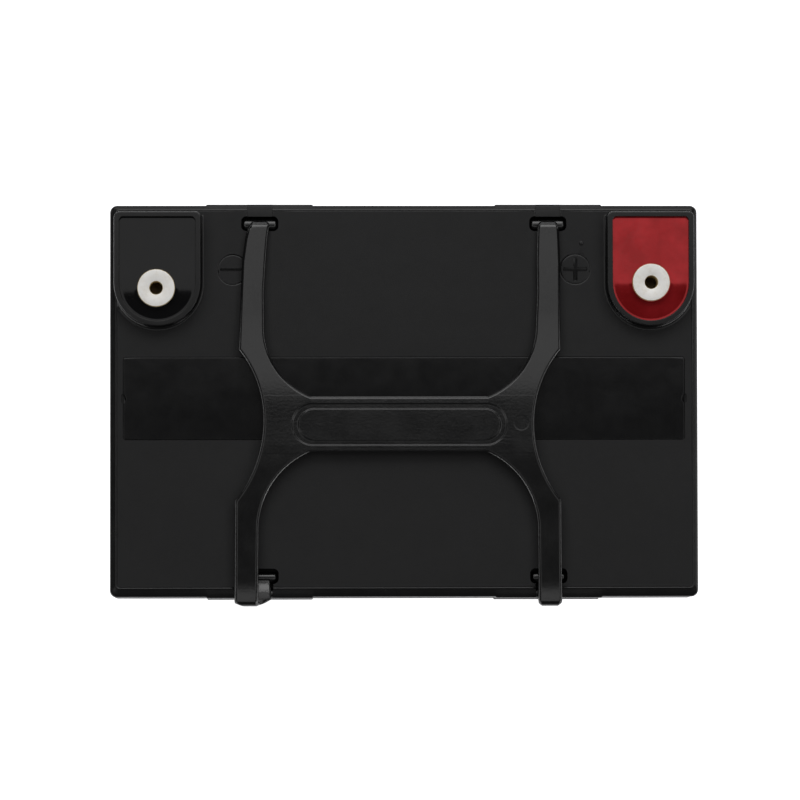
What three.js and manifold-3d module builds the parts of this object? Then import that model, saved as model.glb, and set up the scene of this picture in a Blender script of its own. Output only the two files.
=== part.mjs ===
// Sealed 12 V lead-acid battery with six cells, threaded insert terminals and a flexible lifting handle.
// Millimetres, +Z up. The origin is the centre of the base; -Y is the front, +X the positive terminal's end.
import * as THREE from 'three';
import { mergeVertices } from 'three/addons/utils/BufferGeometryUtils.js';
import Module from 'manifold-3d';

const wasm = await Module();
wasm.setup();

// ---------- Driving dimensions ----------
const LENGTH = 195;
const WIDTH = 130;
const LID_TOP = 155;
const SEAM = 134;            // top edge of the container
const TOUCH = 0.3;           // gap kept between pieces that touch
const CORNER = 2.4;          // vertical corner radius
const CELLS = 6;

const container = { length: 194.4, width: 129.4, wall: 2.6, floor: 3, partition: 1.8 };
const cellWidth = (container.length - 2 * container.wall - (CELLS - 1) * container.partition) / CELLS;
const cellDepth = container.width - 2 * container.wall;
const cellPitch = cellWidth + container.partition;

const lid = { roof: 3.5, wall: 2.9, floorOfTrough: 145 };
const trough = { y: 0.85, length: 186.2, width: 27.5, ledge: 1.6, ledgeDepth: 2.4 };
const strip = { length: 185.6, width: 26.9, thickness: 2 };
const vent = { outerR: 5, boreR: 2, top: 149.5 };
const cap = { innerR: 5.3, outerR: 6.8, bottom: 145.6, top: 151.3 };

// The inserts stand where their posts held them while the potting set, so the two don't quite line up.
const terminal = {
  negative: { x: -82, y: 37.2 },
  positive: { x: 81.7, y: 39 },
  r: 6.2,
  top: 161.3,
  bottom: 147,
  flangeR: 8.2,
  flangeTop: 149.2,
};
const thread = { minorR: 2.1, depth: 11, sinkR: 2.5, sinkDepth: 0.4 };
const well = { inner: 67.3, outer: 96, rear: 62.6, front: 24.6, wall: 1.75, rim: 160.5, floor: 144, base: 139.5 };
const potTop = 159.3;
const post = { r: 5.5, top: 146.7 };
const seal = { innerR: 5.8, outerR: 8, bottom: 141.8, top: 144 };

const plates = { depth: 118, bottom: 5, top: 115, positive: 2.4, negative: 1.8, gap: 1.35 };
const matThickness = 0.75;
const bus = { y: 38, bottom: 121, top: 127, width: 14 };
const link = { r: 4.2, holeR: 4.6, z: 124 };

const pocket = { x: 47.8, y: 58.8, length: 12.1, mouth: 4, roomLength: 12.7, roomWidth: 6.4, lip: 0.9 };
const saddle = { width: 8.2, floor: 152.6, rampStart: 64.4, rampEnd: 61, rampFloor: 150.9 };
const pad = { x: 47.9, width: 35.2, proud: 0.4 };

// The handle is one limp moulding, so its straps lie a little to one side of the centre when it is down.
const handle = { middleX: -1.7, strap: 1.9, grip: 3.8, strapWidth: 7.9, rootWidth: 7.4, slit: 0.45 };
const waist = { rearY: 1.5, frontY: -17.3, y: -8, arcX: 87.4, arcR: 42.3, kinkX: 53.2 };
const rearArch = { x: 19.9, y: 24.6, r: 25, sweep: 65 };
const frontArch = { x: 18.1, y: -42.8, r: 28, sweep: 63.4 };
const hingeZ = 158.4;
const rearBar = { y: 58.8, z: 151.2 };
const frontBar = { y: -59, z: 151.2 };
const bar = { r: 2.1, length: 11.5 };
const loop = { y: -64.2, z: 156.1, r: 2.1, sweep: 153.6, links: 3 };

// ---------- Materials ----------
function finish(color, roughness, metalness = 0) {
  return new THREE.MeshStandardMaterial({ color, roughness, metalness });
}

const look = {
  casePlastic: finish(0x242527, 0.5),
  stripPlastic: finish(0x141517, 0.22),
  handlePlastic: finish(0x2b2c2f, 0.42),
  rubber: finish(0x1b1b1b, 0.8),
  tinnedBrass: finish(0xd8d4cb, 0.28, 1),
  blackEpoxy: finish(0x0c0c0e, 0.12),
  redEpoxy: finish(0x8e1420, 0.12),
  lead: finish(0x8d9196, 0.55, 1),
  positivePaste: finish(0x4a2c22, 0.9),
  negativePaste: finish(0x7c7f80, 0.85),
  glassMat: finish(0xe9e7e0, 0.95),
};

// ---------- Solid helpers ----------
const radians = THREE.MathUtils.degToRad;

function signedVolume(positions, triangles) {
  const a = new THREE.Vector3();
  const b = new THREE.Vector3();
  const c = new THREE.Vector3();
  let sum = 0;
  for (let i = 0; i < triangles.length; i += 3) {
    a.fromArray(positions, 3 * triangles[i]);
    b.fromArray(positions, 3 * triangles[i + 1]);
    c.fromArray(positions, 3 * triangles[i + 2]);
    sum += a.dot(b.cross(c)) / 6;
  }
  return sum;
}

// A closed three.js geometry as a manifold solid, with its faces pointing out.
function solid(geometry) {
  const bare = geometry.clone();
  bare.deleteAttribute('normal');
  bare.deleteAttribute('uv');
  const merged = mergeVertices(bare, 1e-4);
  const vertProperties = new Float32Array(merged.attributes.position.array);
  const corners = Array.from(merged.index.array);
  const triVerts = [];
  for (let i = 0; i < corners.length; i += 3) {
    const [a, b, c] = corners.slice(i, i + 3);
    if (a !== b && b !== c && a !== c) {
      triVerts.push(a, b, c);
    }
  }
  if (signedVolume(vertProperties, triVerts) < 0) {
    triVerts.reverse();
  }
  return new wasm.Manifold(new wasm.Mesh({ numProp: 3, vertProperties, triVerts: new Uint32Array(triVerts) }));
}

function geometryOf(body) {
  const { vertProperties, triVerts, numProp } = body.getMesh();
  const positions = new Float32Array((vertProperties.length / numProp) * 3);
  for (let i = 0; i < positions.length / 3; i += 1) {
    positions.set(vertProperties.subarray(i * numProp, i * numProp + 3), 3 * i);
  }
  const geometry = new THREE.BufferGeometry();
  geometry.setAttribute('position', new THREE.BufferAttribute(positions, 3));
  geometry.setIndex(Array.from(triVerts));
  geometry.computeVertexNormals();
  return geometry;
}

function block(x0, x1, y0, y1, z0, z1) {
  const geometry = new THREE.BoxGeometry(x1 - x0, y1 - y0, z1 - z0);
  geometry.translate((x0 + x1) / 2, (y0 + y1) / 2, (z0 + z1) / 2);
  return solid(geometry);
}

function blockAt(x, y, length, width, z0, z1) {
  return block(x - length / 2, x + length / 2, y - width / 2, y + width / 2, z0, z1);
}

// An outline in plan, raised from z0 to z1.
function raised(shape, z0, z1, curveSegments = 6) {
  const geometry = new THREE.ExtrudeGeometry(shape, { depth: z1 - z0, bevelEnabled: false, curveSegments });
  geometry.translate(0, 0, z0);
  return solid(geometry);
}

// An outline in (Y, Z), drawn out along X from x0 to x1.
function drawn(points, x0, x1) {
  const shape = new THREE.Shape(points.map(([y, z]) => new THREE.Vector2(y, z)));
  const geometry = new THREE.ExtrudeGeometry(shape, { depth: x1 - x0, bevelEnabled: false });
  geometry.translate(0, 0, x0);
  const along = new THREE.Matrix4().makeBasis(
    new THREE.Vector3(0, 1, 0),
    new THREE.Vector3(0, 0, 1),
    new THREE.Vector3(1, 0, 0),
  );
  geometry.applyMatrix4(along);
  return solid(geometry);
}

// A turned piece about a vertical axis at (x, y); the profile is a list of [radius, height].
function turned(profile, x, y, segments = 24) {
  const points = profile.map(([r, z]) => new THREE.Vector2(r, z));
  const geometry = new THREE.LatheGeometry(points, segments);
  geometry.rotateX(Math.PI / 2);
  geometry.translate(x, y, 0);
  return solid(geometry);
}

function rod(r, x, y, z0, z1, segments = 24) {
  return turned([[0, z0], [r, z0], [r, z1], [0, z1]], x, y, segments);
}

function rodAlongX(r, x0, x1, y, z, segments = 16) {
  const geometry = new THREE.CylinderGeometry(r, r, x1 - x0, segments);
  geometry.rotateZ(Math.PI / 2);
  geometry.translate((x0 + x1) / 2, y, z);
  return solid(geometry);
}

function roundedRectangle(length, width, r) {
  const x = length / 2;
  const y = width / 2;
  const shape = new THREE.Shape();
  shape.moveTo(x, y - r);
  shape.absarc(x - r, y - r, r, 0, Math.PI / 2);
  shape.absarc(-x + r, y - r, r, Math.PI / 2, Math.PI);
  shape.absarc(-x + r, -y + r, r, Math.PI, 1.5 * Math.PI);
  shape.absarc(x - r, -y + r, r, 1.5 * Math.PI, 2 * Math.PI);
  shape.closePath();
  return shape;
}

function sumOf(bodies) {
  return bodies.reduce((whole, body) => whole.add(body));
}

// ---------- The assembly ----------
const battery = new THREE.Group();
battery.name = 'battery';

function addPiece(name, shape, material) {
  const geometry = shape.isBufferGeometry ? shape : geometryOf(shape);
  const mesh = new THREE.Mesh(geometry, material);
  mesh.name = name;
  battery.add(mesh);
  return mesh;
}

const cellX = (i) => (i - (CELLS - 1) / 2) * cellPitch;
const negativeSide = (i) => (i % 2 === 0 ? 1 : -1);
const bothEnds = [-1, 1];

function poleAt(side) {
  return side < 0 ? terminal.negative : terminal.positive;
}

// ---------- Container: open box with five partitions ----------
function makeContainer() {
  let body = raised(roundedRectangle(container.length, container.width, CORNER), 0, SEAM);
  for (let i = 0; i < CELLS; i += 1) {
    body = body.subtract(blockAt(cellX(i), 0, cellWidth, cellDepth, container.floor, SEAM + 1));
  }
  for (let i = 0; i < CELLS - 1; i += 1) {
    const wallX = cellX(i) + cellPitch / 2;
    const y = -negativeSide(i) * bus.y;
    body = body.subtract(rodAlongX(link.holeR, wallX - 2, wallX + 2, y, link.z));
  }
  return body;
}

// ---------- Lid: roof, skirt, vent trough, terminal wells and handle pockets ----------
function wellOutline(side, inset) {
  const x0 = well.inner + inset;
  const x1 = well.outer - inset;
  const r = (x1 - x0) / 2;
  const corner = 2;
  const rear = well.rear - inset;
  const frontCentreY = well.front + inset + r;
  const shape = new THREE.Shape();
  shape.moveTo(x1, frontCentreY);
  shape.lineTo(x1, rear - corner);
  shape.absarc(x1 - corner, rear - corner, corner, 0, Math.PI / 2);
  shape.absarc(x0 + corner, rear - corner, corner, Math.PI / 2, Math.PI);
  shape.lineTo(x0, frontCentreY);
  shape.absarc((x0 + x1) / 2, frontCentreY, r, Math.PI, 2 * Math.PI);
  if (side > 0) {
    return shape;
  }
  const mirrored = shape.getPoints(6).map((p) => new THREE.Vector2(-p.x, p.y)).reverse();
  return new THREE.Shape(mirrored);
}

function lidChambers() {
  const chambers = [];
  for (let i = 0; i < CELLS; i += 1) {
    const depth = WIDTH - 2 * lid.wall;
    chambers.push(blockAt(cellX(i), 0, cellWidth, depth, SEAM - 1, LID_TOP - lid.roof));
  }
  return chambers;
}

function lidAdditions() {
  const roofInside = LID_TOP - lid.roof + 0.5;
  const troughWall = 1.8;
  const bodies = [
    blockAt(0, trough.y, trough.length + 3, trough.width + 2 * troughWall, lid.floorOfTrough - 2, roofInside),
  ];
  for (const side of bothEnds) {
    bodies.push(raised(wellOutline(side, 0), well.base, well.rim));
    for (const face of bothEnds) {
      const x = side * pocket.x;
      const inner = 53.4;
      bodies.push(block(x - 8.2, x + 8.2, ...ordered(face * inner, face * 64), 145.8, roofInside));
      const padY = WIDTH / 2 + pad.proud;
      const padX = side * pad.x;
      const half = pad.width / 2;
      bodies.push(block(padX - half, padX + half, ...ordered(face * 63, face * padY), SEAM + TOUCH, 153.2));
    }
  }
  return bodies;
}

function ordered(a, b) {
  return a < b ? [a, b] : [b, a];
}

function pocketCuts(side, face) {
  const x = side * pocket.x;
  const y = face * pocket.y;
  const above = LID_TOP + 1;
  const roomTop = LID_TOP - pocket.lip;
  const ramp = [
    [face * saddle.rampEnd, saddle.rampFloor],
    [face * saddle.rampStart, saddle.floor],
    [face * (WIDTH / 2 + 2), saddle.floor],
    [face * (WIDTH / 2 + 2), above],
    [face * pocket.y, above],
    [face * pocket.y, saddle.rampFloor],
  ];
  return [
    blockAt(x, y, pocket.length, pocket.mouth, roomTop - 1, above),
    blockAt(x, y, pocket.roomLength, pocket.roomWidth, 147.6, roomTop),
    drawn(ramp, x - saddle.width / 2, x + saddle.width / 2),
  ];
}

function lidCuts() {
  const above = LID_TOP + 1;
  const lowerLength = trough.length - 2 * trough.ledge;
  const lowerWidth = trough.width - 2 * trough.ledge;
  const cuts = [
    blockAt(0, trough.y, trough.length, trough.width, LID_TOP - trough.ledgeDepth, above),
    blockAt(0, trough.y, lowerLength, lowerWidth, lid.floorOfTrough, above),
  ];
  for (const side of bothEnds) {
    cuts.push(raised(wellOutline(side, well.wall), well.floor, well.rim + 1));
    const { x, y } = poleAt(side);
    cuts.push(rod(seal.outerR + TOUCH, x, y, seal.bottom - TOUCH, well.floor + 1));
    cuts.push(rod(post.r + 0.7, x, y, well.base - 1, well.floor));
    for (const face of bothEnds) {
      cuts.push(...pocketCuts(side, face));
    }
  }
  return cuts;
}

function makeLid() {
  let body = raised(roundedRectangle(LENGTH, WIDTH, CORNER), SEAM + TOUCH, LID_TOP);
  body = body.subtract(sumOf(lidChambers()));
  body = body.add(sumOf(lidAdditions()));
  body = body.subtract(sumOf(lidCuts()));
  for (let i = 0; i < CELLS; i += 1) {
    body = body.add(rod(vent.outerR, cellX(i), trough.y, lid.floorOfTrough - 0.5, vent.top, 20));
  }
  for (let i = 0; i < CELLS; i += 1) {
    body = body.subtract(rod(vent.boreR, cellX(i), trough.y, SEAM, vent.top + 1, 16));
  }
  return body;
}

// ---------- Vent cover strip and the relief-valve caps below it ----------
function makeStrip() {
  const top = LID_TOP - 0.15;
  const bottom = top - strip.thickness;
  const notchR = 2.2;
  let body = blockAt(0, trough.y, strip.length, strip.width, bottom, top);
  for (const side of bothEnds) {
    body = body.subtract(rod(notchR, (side * strip.length) / 2, trough.y, bottom - 1, top + 1, 16));
  }
  for (let i = 0; i < CELLS; i += 1) {
    body = body.add(rod(4, cellX(i), trough.y, bottom - 0.7, bottom + 0.5, 12));
  }
  return body;
}

function makeCap(i) {
  const crown = vent.top + TOUCH;
  const profile = [
    [0, crown],
    [cap.innerR, crown],
    [cap.innerR, cap.bottom],
    [cap.outerR, cap.bottom],
    [cap.outerR, cap.top - 0.6],
    [cap.outerR - 0.6, cap.top],
    [0, cap.top],
  ];
  return turned(profile, cellX(i), trough.y, 20);
}

// ---------- Terminals ----------
function makeTerminal(side) {
  const { x, y } = poleAt(side);
  const sinkBottom = terminal.top - thread.sinkDepth;
  const holeBottom = terminal.top - thread.depth;
  const profile = [
    [0, terminal.bottom],
    [terminal.flangeR, terminal.bottom],
    [terminal.flangeR, terminal.flangeTop],
    [terminal.r, terminal.flangeTop],
    [terminal.r, terminal.top - 0.3],
    [terminal.r - 0.3, terminal.top],
    [thread.sinkR, terminal.top],
    [thread.minorR, sinkBottom],
    [thread.minorR, holeBottom],
    [0, holeBottom - 1.2],
  ];
  return turned(profile, x, y, 28);
}

function makePotting(side) {
  const { x, y } = poleAt(side);
  const bottom = well.floor + TOUCH;
  const bore = [
    [0, bottom - 1],
    [post.r + 0.4, bottom - 1],
    [post.r + 0.4, post.top],
    [terminal.flangeR + TOUCH, post.top],
    [terminal.flangeR + TOUCH, terminal.flangeTop + TOUCH],
    [terminal.r + TOUCH, terminal.flangeTop + TOUCH],
    [terminal.r + TOUCH, potTop + 1],
    [0, potTop + 1],
  ];
  return raised(wellOutline(side, well.wall + TOUCH), bottom, potTop).subtract(turned(bore, x, y, 28));
}

function makeSeal(side) {
  const { x, y } = poleAt(side);
  const middle = (seal.innerR + seal.outerR) / 2;
  const r = (seal.outerR - seal.innerR) / 2;
  const z = (seal.bottom + seal.top) / 2;
  const profile = [];
  for (let k = 0; k <= 10; k += 1) {
    const angle = (k / 10) * 2 * Math.PI;
    profile.push([middle + r * Math.cos(angle), z + r * Math.sin(angle)]);
  }
  profile[10] = [...profile[0]];
  return turned(profile, x, y, 24);
}

function makePost(side) {
  const { x, y } = poleAt(side);
  return rod(post.r, x, y, bus.top + TOUCH, post.top);
}

// ---------- Cells: comb-shaped plate groups, one folded mat and the links between cells ----------
const platePitch = plates.positive + plates.negative + 2 * plates.gap;

function plateGroup(offsets, thickness, side, halfBus) {
  const bodies = offsets.map((x) => blockAt(x, 0, thickness, plates.depth, plates.bottom, plates.top));
  for (const x of offsets) {
    bodies.push(blockAt(x, side * bus.y, thickness, bus.width - 2, plates.top - 1, bus.bottom + 1));
  }
  bodies.push(blockAt(0, side * bus.y, 2 * halfBus, bus.width, bus.bottom, bus.top));
  return sumOf(bodies);
}

const positiveOffsets = [-1.5, -0.5, 0.5, 1.5].map((k) => k * platePitch);
const negativeOffsets = [-2, -1, 0, 1, 2].map((k) => k * platePitch);
const positiveHalfBus = positiveOffsets[3] + plates.positive / 2;
const negativeHalfBus = negativeOffsets[4] + plates.negative / 2;

// The mat runs between all the plates, folded round their side edges in turn.
function matFolds() {
  const middle = plates.negative / 2 + plates.gap / 2;
  const sheets = [-2, -1, 0, 1, 2].flatMap((k) => [k * platePitch - middle, k * platePitch + middle]).slice(1, -1);
  const reach = plates.depth / 2 + 1.4;
  const inside = reach - 0.8;
  const half = matThickness / 2;
  const outer = [];
  const inner = [];
  sheets.forEach((x, k) => {
    const even = k % 2 === 0;
    const turn = even ? 1 : -1;
    const first = k === 0 ? reach : inside;
    const last = k === sheets.length - 1 ? reach : inside;
    const outerYs = even ? [-first, reach] : [reach, -last];
    const innerYs = even ? [-reach, inside] : [inside, -reach];
    outer.push(...outerYs.map((y) => new THREE.Vector2(x - turn * half, y)));
    inner.push(...innerYs.map((y) => new THREE.Vector2(x + turn * half, y)));
  });
  return raised(new THREE.Shape([...outer, ...inner.reverse()]), plates.bottom - 1.5, plates.top + 2);
}

function addCells() {
  const mat = geometryOf(matFolds());
  for (let i = 0; i < CELLS; i += 1) {
    const side = negativeSide(i);
    const number = i + 1;
    const negative = plateGroup(negativeOffsets, plates.negative, side, negativeHalfBus);
    const positive = plateGroup(positiveOffsets, plates.positive, -side, positiveHalfBus);
    const pieces = [
      addPiece(`negative_plates_${number}`, negative, look.negativePaste),
      addPiece(`positive_plates_${number}`, positive, look.positivePaste),
      addPiece(`separator_mat_${number}`, mat.clone(), look.glassMat),
    ];
    for (const piece of pieces) {
      piece.position.x = cellX(i);
    }
  }
  for (let i = 0; i < CELLS - 1; i += 1) {
    const x0 = cellX(i) + positiveHalfBus + TOUCH;
    const x1 = cellX(i + 1) - negativeHalfBus - TOUCH;
    const y = -negativeSide(i) * bus.y;
    addPiece(`cell_link_${i + 1}`, rodAlongX(link.r, x0, x1, y, link.z), look.lead);
  }
}

// ---------- Handle ----------
// Plan outlines use u, the distance from the handle's own middle line, and are placed on either side of it.
function placedOutline(points, side) {
  const placed = points.map(([u, y]) => new THREE.Vector2(handle.middleX + side * u, y));
  return new THREE.Shape(side > 0 ? placed : placed.reverse());
}

function waistEdge(y) {
  return waist.arcX - Math.sqrt(waist.arcR ** 2 - (y - waist.y) ** 2);
}

function edgeArc(y0, y1, steps = 6) {
  const points = [];
  for (let k = 0; k <= steps; k += 1) {
    const y = y0 + ((y1 - y0) * k) / steps;
    points.push([waistEdge(y), y]);
  }
  return points;
}

function archArc(arch, facing, steps = 8) {
  const points = [];
  for (let k = 0; k <= steps; k += 1) {
    const angle = radians((arch.sweep * k) / steps);
    points.push([arch.x + arch.r * Math.cos(angle), arch.y - facing * arch.r * Math.sin(angle)]);
  }
  return points;
}

function makeGrip() {
  const y0 = waist.frontY + handle.slit;
  const y1 = waist.rearY - handle.slit;
  const right = edgeArc(y0, y1).map(([u, y]) => new THREE.Vector2(handle.middleX + u, y));
  const left = edgeArc(y1, y0).map(([u, y]) => new THREE.Vector2(handle.middleX - u, y));
  return raised(new THREE.Shape([...right, ...left]), hingeZ - handle.grip / 2, hingeZ + handle.grip / 2);
}

function makeRearStrap(side) {
  const pocketU = pocket.x - side * handle.middleX;
  const half = handle.rootWidth / 2;
  const end = rearBar.y + 2;
  const startY = waist.rearY + handle.slit;
  const outline = [
    ...edgeArc(startY, 16.5),
    [pocketU + half, end - 6],
    [pocketU + half, end],
    [pocketU - half, end],
    [pocketU - half, end - 6],
    ...archArc(rearArch, 1),
  ].filter(([, y]) => y >= startY - 0.01);
  const h = handle.strap / 2;
  const profile = [
    [startY, hingeZ - h],
    [startY, hingeZ + h],
    [57.6, 157.3],
    [59.3, 156.6],
    [rearBar.y + h, 155.6],
    [rearBar.y + h, rearBar.z],
    [rearBar.y - h, rearBar.z],
    [rearBar.y - h, 155.1],
    [56.9, 155.4],
  ];
  const plan = raised(placedOutline(outline, side), 140, 170);
  const strap = drawn(profile, handle.middleX - 60, handle.middleX + 60).intersect(plan);
  const x = side * pocket.x;
  return strap.add(rodAlongX(bar.r, x - bar.length / 2, x + bar.length / 2, rearBar.y, rearBar.z));
}

function makeFrontStrap(side) {
  const startY = waist.frontY - handle.slit;
  const end = loop.y + 0.2;
  const outer = edgeArc(-32.4, startY);
  const outline = [
    [waist.kinkX - handle.strapWidth, end],
    [waist.kinkX, end],
    ...outer,
    ...archArc(frontArch, -1).reverse(),
  ].filter(([, y]) => y <= startY + 0.01);
  const z = hingeZ - 0.1;
  return raised(placedOutline(outline, side), z - handle.strap / 2, z + handle.strap / 2);
}

// Hinge points round the slack loop, from the strap's end to the lower strand, in (Y, Z).
function loopPoint(i) {
  const angle = radians((loop.sweep * i) / loop.links);
  return [loop.y - loop.r * Math.sin(angle), loop.z + loop.r * Math.cos(angle)];
}

const strapEndX = (side) => handle.middleX + side * (waist.kinkX - handle.strapWidth / 2);

function makeLoopLink(side, i) {
  const [y0, z0] = loopPoint(i);
  const [y1, z1] = loopPoint(i + 1);
  const length = Math.hypot(y1 - y0, z1 - z0);
  const [ty, tz] = [(y1 - y0) / length, (z1 - z0) / length];
  const h = handle.strap / 2 - 0.1;
  const tip = 0.12;
  const shoulder = 0.58;
  const across = [[tip, 0], [shoulder, h], [length - shoulder, h], [length - tip, 0]];
  const under = [[length - shoulder, -h], [shoulder, -h]];
  const profile = [...across, ...under].map(([s, n]) => [y0 + ty * s - tz * n, z0 + tz * s + ty * n]);
  const share = (i + 0.5) / loop.links;
  const x = THREE.MathUtils.lerp(strapEndX(side), side * pocket.x, share);
  return drawn(profile, x - handle.rootWidth / 2, x + handle.rootWidth / 2);
}

function makeFrontEnd(side) {
  const [y0, z0] = loopPoint(loop.links);
  const length = Math.hypot(frontBar.y - y0, frontBar.z - z0);
  const [ty, tz] = [(frontBar.y - y0) / length, (frontBar.z - z0) / length];
  const h = handle.strap / 2;
  const corners = [[0.3, -0.4], [0.3, 0.4], [0.7, h], [length, h], [length, -h], [0.7, -h]];
  const profile = corners.map(([s, n]) => [y0 + ty * s - tz * n, z0 + tz * s + ty * n]);
  const x = side * pocket.x;
  const tongue = drawn(profile, x - handle.rootWidth / 2, x + handle.rootWidth / 2);
  return tongue.add(rodAlongX(bar.r, x - bar.length / 2, x + bar.length / 2, frontBar.y, frontBar.z));
}

// ---------- Put the pieces together ----------
addPiece('container', makeContainer(), look.casePlastic);
addPiece('lid', makeLid(), look.casePlastic);
addPiece('vent_cover_strip', makeStrip(), look.stripPlastic);
for (let i = 0; i < CELLS; i += 1) {
  addPiece(`relief_valve_cap_${i + 1}`, makeCap(i), look.rubber);
}
addCells();
for (const side of bothEnds) {
  const pole = side < 0 ? 'negative' : 'positive';
  addPiece(`${pole}_terminal`, makeTerminal(side), look.tinnedBrass);
  addPiece(`${pole}_potting`, makePotting(side), side < 0 ? look.blackEpoxy : look.redEpoxy);
  addPiece(`${pole}_post_seal`, makeSeal(side), look.rubber);
  addPiece(`${pole}_lead_post`, makePost(side), look.lead);
}
addPiece('handle_grip', makeGrip(), look.handlePlastic);
for (const side of bothEnds) {
  const hand = side < 0 ? 'left' : 'right';
  addPiece(`rear_strap_${hand}`, makeRearStrap(side), look.handlePlastic);
  addPiece(`front_strap_${hand}`, makeFrontStrap(side), look.handlePlastic);
  for (let i = 0; i < loop.links; i += 1) {
    addPiece(`slack_loop_${i + 1}_${hand}`, makeLoopLink(side, i), look.handlePlastic);
  }
  addPiece(`front_tbar_${hand}`, makeFrontEnd(side), look.handlePlastic);
}

export default battery;
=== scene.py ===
"""Looks of a sealed lead-acid battery with a limp strap handle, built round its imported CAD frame."""
import math

import bpy
import numpy as np
from mathutils import Matrix, Quaternion, Vector
from mathutils.geometry import delaunay_2d_cdt


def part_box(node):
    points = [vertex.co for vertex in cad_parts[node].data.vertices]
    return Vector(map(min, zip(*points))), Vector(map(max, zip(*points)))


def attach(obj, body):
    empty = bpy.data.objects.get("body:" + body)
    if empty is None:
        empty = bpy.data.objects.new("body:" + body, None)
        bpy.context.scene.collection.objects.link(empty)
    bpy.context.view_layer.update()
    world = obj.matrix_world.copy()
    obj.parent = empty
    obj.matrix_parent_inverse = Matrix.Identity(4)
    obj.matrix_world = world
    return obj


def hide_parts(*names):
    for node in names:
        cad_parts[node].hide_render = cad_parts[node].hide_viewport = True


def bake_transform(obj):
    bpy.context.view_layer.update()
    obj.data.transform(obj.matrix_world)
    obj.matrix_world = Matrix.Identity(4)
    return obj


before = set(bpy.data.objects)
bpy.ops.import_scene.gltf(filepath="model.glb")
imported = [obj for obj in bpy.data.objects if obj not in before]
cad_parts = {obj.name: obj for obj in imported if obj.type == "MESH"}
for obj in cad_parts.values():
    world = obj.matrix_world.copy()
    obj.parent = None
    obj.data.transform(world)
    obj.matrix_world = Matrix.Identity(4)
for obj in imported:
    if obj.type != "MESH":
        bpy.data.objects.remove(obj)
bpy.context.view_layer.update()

MM = 0.001
SIDES = (-1, 1)
POLES = {-1: "negative", 1: "positive"}
HANDS = {-1: "left", 1: "right"}


def box_mm(node):
    low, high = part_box(node)
    return np.array(low) / MM, np.array(high) / MM


# ---------------------------------------------------------------- driving sizes, in mm
lid_low, lid_high = box_mm("lid")
strip_low, strip_high = box_mm("vent_cover_strip")
container_high = box_mm("container")[1]
LENGTH = lid_high[0] - lid_low[0]
WIDTH = 130.0                    # without the panels that stand proud of the skirt
RIM_TOP = lid_high[2]
SEAM = lid_low[2]
LID_TOP = strip_high[2] + 0.15
CORNER = 2.4
EDGE = {"left": 2.2, "right": 1.75, "rear": 1.7, "front": 3.1}   # how wide the lid's sloping rim is
CREST = 0.4                      # of which this much is the rounding at its top
POLE = {side: [(a + b) / 2 for a, b in zip(*box_mm(f"{POLES[side]}_terminal"))][:2] for side in SIDES}
WELL = {"inner": 67.3, "outer": 96.0, "rear": 62.6, "front": 24.6, "wall": 1.75, "floor": 144.0}
POT_TOP = box_mm("negative_potting")[1][2]
POCKET = {"x": 47.8, "length": 12.1, "floor": 149.4}
POCKET_MOUTH = {-1: (-58.05, 4.9), 1: (58.85, 4.7)}   # middle in Y and width, in front and behind
SADDLE_WIDTH = 8.2
MARK = {-1: (-56.8, 43.5), 1: (56.9, 43.7)}
MARK_R = 4.95
MARK_BARS = {-1: [(8.4, 1.0)], 1: [(8.0, 1.45), (1.45, 8.0)]}
GATE_MARK = (58.9, 52.4)
PAD_X, PAD_HALF, PAD_PROUD = 47.9, 17.6, 0.4     # the panels on the skirt outside the pockets

# ---------------------------------------------------------------- handle pattern, in mm
MIDDLE = (box_mm("handle_grip")[0][0] + box_mm("handle_grip")[1][0]) / 2
HINGE_Z = (box_mm("handle_grip")[0][2] + box_mm("handle_grip")[1][2]) / 2
REAR_Y, FRONT_Y = 1.5, -17.3     # the grip's two hinge lines
REAR_BAR = (58.65, 152.3)        # the T-bars' middle lines, as (Y, Z)
FRONT_BAR = (-58.4, 151.5)
BAR_R = {"rear": 2.1, "front": 1.85}
REAR_BEND = {"z": 154.95, "r": 1.35}    # where the rear straps leave the upright, and the bend's radius
REAR_AIM = (57.5, 156.25)        # the point over the rear edge that the bend turns towards
DROOP_Y = -57.0                  # where the front straps start to sag towards their loops
LOOP = {"y": -66.15, "z": 157.3, "r": 1.15, "end": 176.0}   # the loop's start, radius and last direction
RETURN = {"pull": 3.6, "arrival": (-1.4, 1.9)}  # how the leg back leaves the loop and reaches the T-bar
STRAP, GRIP = 1.9, 3.8           # thicknesses
CHANNEL_V = -7.85                # the middle of the channel on the grip
GROOVE, PAD = (71.6, 14.3), (66.2, 9.6)      # length and width of the channel and of the pad inside it
CHANNEL_DEPTH = 0.36
STEEP, GENTLE = 0.43, 0.8        # widths of the channel's walls: those facing rearward are steeper
EJECTOR = {"off": 40.3, "v": -7.4, "r": 2.5}    # the ejector pin's mark, off the middle to the right
ROUND = 0.85                     # rounding of the moulding's lower edges
TOP_EDGE = [(0.0, 0.85), (0.04, 0.72), (0.09, 0.62), (0.28, 0.42), (0.7, 0.11), (0.8, 0.05), (0.95, 0.0)]
#        the chamfer of its upper edges, as (inset, fall)


# ================================================================ mesh helpers
def make_object(name, verts, faces, material=None, smooth_angle=35):
    """A mesh object from vertices in millimetres."""
    mesh = bpy.data.meshes.new(name)
    mesh.from_pydata([tuple(c * MM for c in v) for v in verts], [], [tuple(f) for f in faces])
    mesh.validate()
    mesh.update()
    obj = bpy.data.objects.new(name, mesh)
    bpy.context.scene.collection.objects.link(obj)
    smooth_by_angle(obj, smooth_angle)
    if material:
        mesh.materials.append(material)
    return obj


def smooth_by_angle(obj, degrees):
    obj.data.shade_smooth()
    obj.data.set_sharp_from_angle(angle=math.radians(degrees))


def weighted_normals(obj):
    modifier = obj.modifiers.new("weighted_normals", "WEIGHTED_NORMAL")
    modifier.keep_sharp = True
    modifier.weight = 80


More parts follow.
